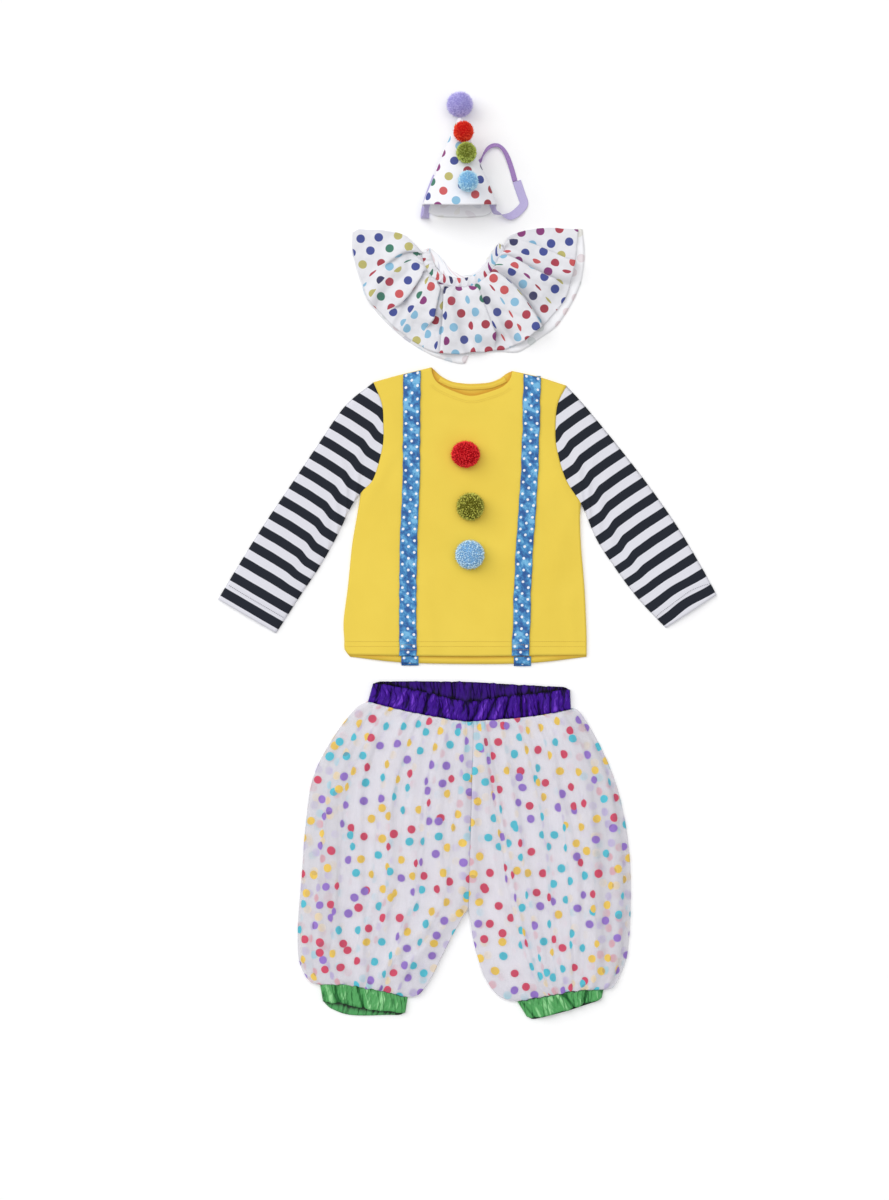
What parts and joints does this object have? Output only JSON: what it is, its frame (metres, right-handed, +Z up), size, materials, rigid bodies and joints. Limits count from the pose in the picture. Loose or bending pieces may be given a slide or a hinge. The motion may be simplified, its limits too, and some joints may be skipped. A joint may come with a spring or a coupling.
{
  "type": "clown costume",
  "caption": "Child's clown costume set laid out flat: cone hat with chin strap, gathered ruff, long-sleeved shirt with ribbon braces and pompoms, and balloon trousers.",
  "frame": {"origin": "on the surface that the set lies on, below the middle of its bounding box", "axes": "+Y up the garments, from the trousers' cuffs to the hat's tip; +X to the viewer's right; +Z up, away from the surface"},
  "size_m": [0.6983, 1.2945, 0.0709],
  "materials": {
    "hat_felt": "white felt printed with coloured spots",
    "chin_elastic": "flat woven purple elastic",
    "lilac_ribbon": "lilac woven ribbon",
    "lilac_yarn": "trimmed lilac yarn",
    "red_yarn": "trimmed orange-red yarn",
    "green_yarn": "trimmed moss green yarn",
    "blue_yarn": "trimmed sky blue yarn",
    "crimson_yarn": "trimmed crimson yarn",
    "olive_yarn": "trimmed olive yarn",
    "ruff_cotton": "white cotton printed with coloured spots",
    "yellow_jersey": "matt yellow jersey",
    "striped_jersey": "matt jersey with black and white stripes",
    "brace_ribbon": "blue grosgrain ribbon with small white dots",
    "purple_satin": "purple satin gathered on elastic",
    "green_satin": "green satin gathered on elastic",
    "trouser_lining": "plain white polyester",
    "spotted_overlay": "thin white chiffon printed with small coloured dots"
  },
  "bodies": {
    "root": {"hat_cone": "hat_felt", "hat_elastic": "chin_elastic", "hat_pompom_blue": "blue_yarn", "hat_pompom_green": "green_yarn", "hat_pompom_lilac": "lilac_yarn", "hat_pompom_red": "red_yarn", "hat_ribbon_left": "lilac_ribbon", "hat_ribbon_right": "lilac_ribbon", "pants_cuff_left": "green_satin", "pants_cuff_right": "green_satin", "pants_lining_back_left": "trouser_lining", "pants_lining_back_right": "trouser_lining", "pants_lining_front_left": "trouser_lining", "pants_lining_front_right": "trouser_lining", "pants_overlay_back_left": "spotted_overlay", "pants_overlay_back_right": "spotted_overlay", "pants_overlay_front_left": "spotted_overlay", "pants_overlay_front_right": "spotted_overlay", "pants_waistband": "purple_satin", "ruff_frill_back": "ruff_cotton", "ruff_frill_front": "ruff_cotton", "ruff_neckband": "ruff_cotton", "shirt_back": "yellow_jersey", "shirt_brace_back_left": "brace_ribbon", "shirt_brace_back_right": "brace_ribbon", "shirt_brace_front_left": "brace_ribbon", "shirt_brace_front_right": "brace_ribbon", "shirt_front": "yellow_jersey", "shirt_neck_tape": "yellow_jersey", "shirt_pompom_blue": "blue_yarn", "shirt_pompom_green": "olive_yarn", "shirt_pompom_red": "crimson_yarn", "shirt_sleeve_left": "striped_jersey", "shirt_sleeve_right": "striped_jersey"}
  },
  "joints": []
}
